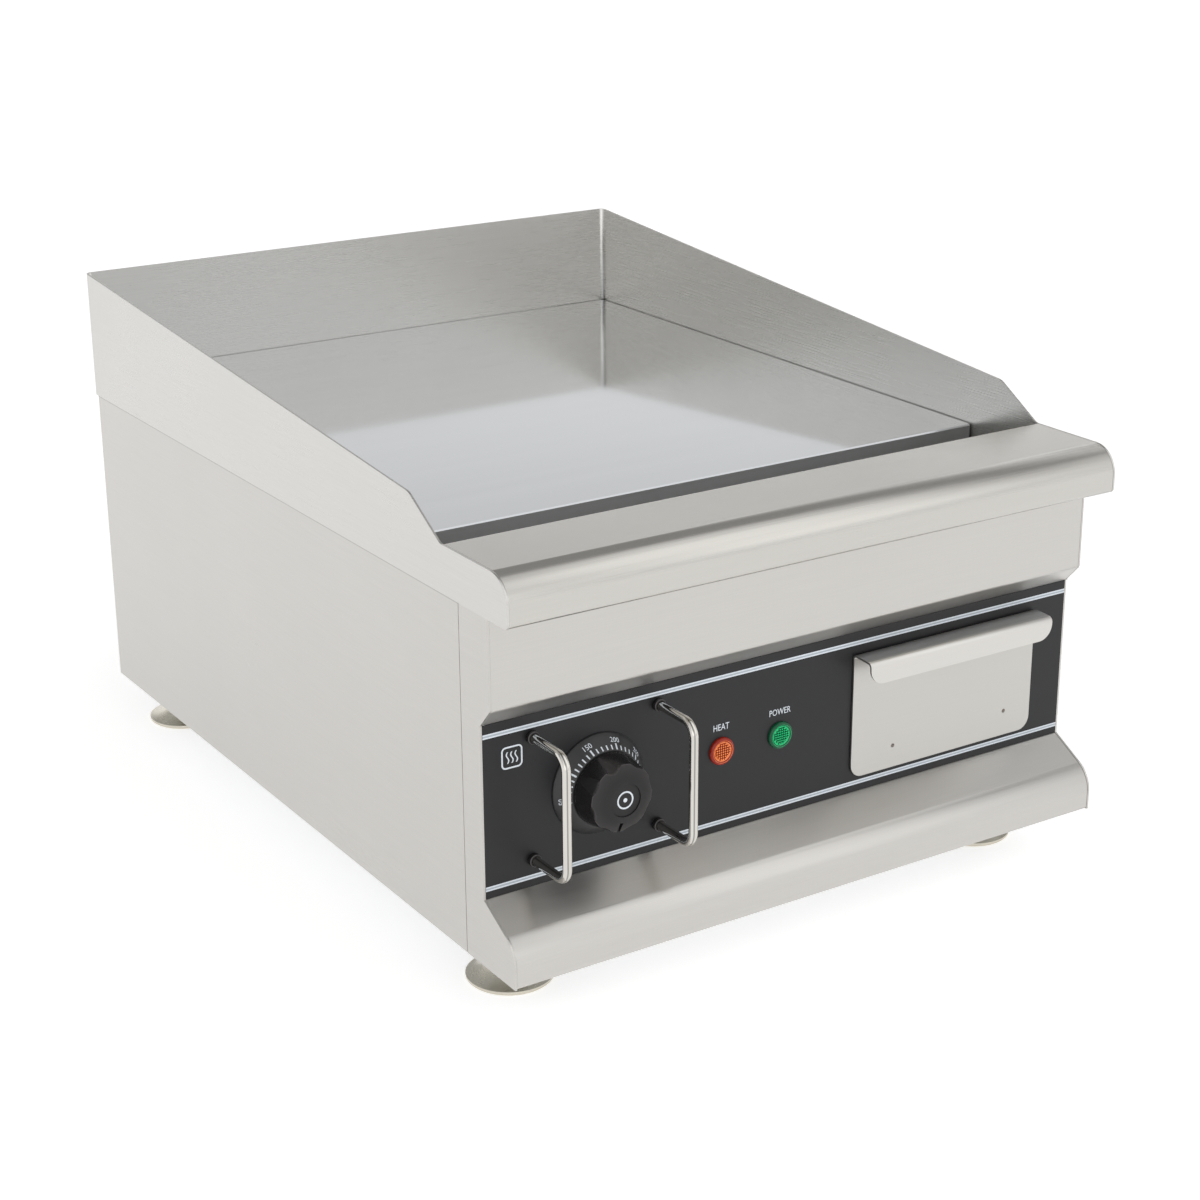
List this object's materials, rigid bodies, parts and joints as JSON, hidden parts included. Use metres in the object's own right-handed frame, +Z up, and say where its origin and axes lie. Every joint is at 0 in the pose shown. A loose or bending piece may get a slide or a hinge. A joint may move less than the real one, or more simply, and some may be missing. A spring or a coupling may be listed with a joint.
{
  "type": "flat top griddle",
  "caption": "Counter-top electric griddle: chromed plate in a stainless splash guard, grease trough and drawer, thermostat knob behind wire guards, screw feet.",
  "frame": {"origin": "middle of the overall footprint, on the surface that the feet stand on", "axes": "+X to the user's right, +Y from the control panel to the back, +Z up"},
  "size_m": [0.4024, 0.56, 0.31],
  "materials": {
    "brushed_stainless": "fine brushed stainless sheet",
    "lip_stainless": "brushed stainless, grain along the rail",
    "drawer_stainless": "satin stainless sheet",
    "plate_chrome": "hard chromed, ground and polished",
    "panel_black": "printed film, satin charcoal",
    "polished_wire": "polished stainless rod",
    "black_plastic": "moulded heat resistant plastic",
    "dial_black": "moulded plastic, satin",
    "amber_lens": "translucent moulded lens",
    "green_lens": "translucent moulded lens",
    "white_plastic": "moulded nylon",
    "zinc_steel": "zinc plated steel",
    "galvanised": "aluminised sheet steel",
    "element_steel": "heat tinted sheathed element",
    "ceramic_fibre": "rigid ceramic fibre board",
    "copper": "copper capillary",
    "wire_insulation": "silicone insulated wire",
    "foot_steel": "turned stainless",
    "gland_black": "moulded nylon",
    "gland_rubber": "rubber seal",
    "reset_red": "moulded button",
    "print_silver": "metallic screen print",
    "print_white": "screen print"
  },
  "bodies": {
    "root": {"side_panel_left": "brushed_stainless", "side_panel_right": "brushed_stainless", "rear_panel": "brushed_stainless", "rear_screws": "zinc_steel", "base_pan": "galvanised", "front_cheek_left": "brushed_stainless", "front_cheek_right": "brushed_stainless", "upper_front_panel": "brushed_stainless", "lower_skirt": "brushed_stainless", "control_panel": "brushed_stainless", "panel_overlay": "panel_black", "knob_guard_left": "polished_wire", "knob_guard_right": "polished_wire", "guard_ferrules": "black_plastic", "guard_nuts": "zinc_steel", "dial_plate": "dial_black", "thermostat_body": "white_plastic", "thermostat_screws": "zinc_steel", "thermostat_bulb": "copper", "heat_lamp_lens": "amber_lens", "power_lamp_lens": "green_lens", "lamp_bodies": "white_plastic", "front_lip": "lip_stainless", "splash_guard": "brushed_stainless", "griddle_plate": "plate_chrome", "plate_supports": "galvanised", "grease_trough": "brushed_stainless", "drain_chute": "brushed_stainless", "drawer_rail_left": "galvanised", "drawer_rail_right": "galvanised", "drawer_bracket": "galvanised", "heating_element_left": "element_steel", "heating_element_centre": "element_steel", "heating_element_right": "element_steel", "element_clamps": "zinc_steel", "clamp_bolts": "zinc_steel", "insulation_board": "ceramic_fibre", "heat_shield": "galvanised", "safety_limiter": "white_plastic", "limiter_bulb": "copper", "terminal_block": "white_plastic", "gland_body": "gland_black", "gland_locknut": "gland_black", "gland_cap": "gland_black", "gland_seal": "gland_rubber", "earth_stud": "zinc_steel", "wiring_loom": "wire_insulation", "foot_locknuts": "zinc_steel", "foot_sockets": "zinc_steel"},
    "drawer": {"drawer_tray": "drawer_stainless", "drawer_front": "drawer_stainless"},
    "knob": {"control_knob": "black_plastic", "knob_cap": "black_plastic", "thermostat_spindle": "zinc_steel"},
    "reset": {"reset_button": "reset_red"},
    "foot_fl": {"foot_front_left": "foot_steel"},
    "foot_fr": {"foot_front_right": "foot_steel"},
    "foot_rl": {"foot_rear_left": "foot_steel"},
    "foot_rr": {"foot_rear_right": "foot_steel"}
  },
  "joints": [
    {"name": "drawer_slide", "type": "slide", "parent": "root", "child": "drawer", "axis": [0, -1, 0], "range_m": [0, 0.26]},
    {"name": "knob_turn", "type": "hinge", "parent": "root", "child": "knob", "pos_m": [-0.1295, -0.25, 0.119], "axis": [0, 1, 0], "range_deg": [0, 267]},
    {"name": "reset_press", "type": "slide", "parent": "root", "child": "reset", "axis": [0, -1, 0], "range_m": [0, 0.002], "stiffness_N_per_m": 400},
    {"name": "foot_fl_height", "type": "slide", "parent": "root", "child": "foot_fl", "axis": [0, 0, -1], "range_m": [0, 0.01]},
    {"name": "foot_fr_height", "type": "slide", "parent": "root", "child": "foot_fr", "axis": [0, 0, -1], "range_m": [0, 0.01]},
    {"name": "foot_rl_height", "type": "slide", "parent": "root", "child": "foot_rl", "axis": [0, 0, -1], "range_m": [0, 0.01]},
    {"name": "foot_rr_height", "type": "slide", "parent": "root", "child": "foot_rr", "axis": [0, 0, -1], "range_m": [0, 0.01]}
  ]
}
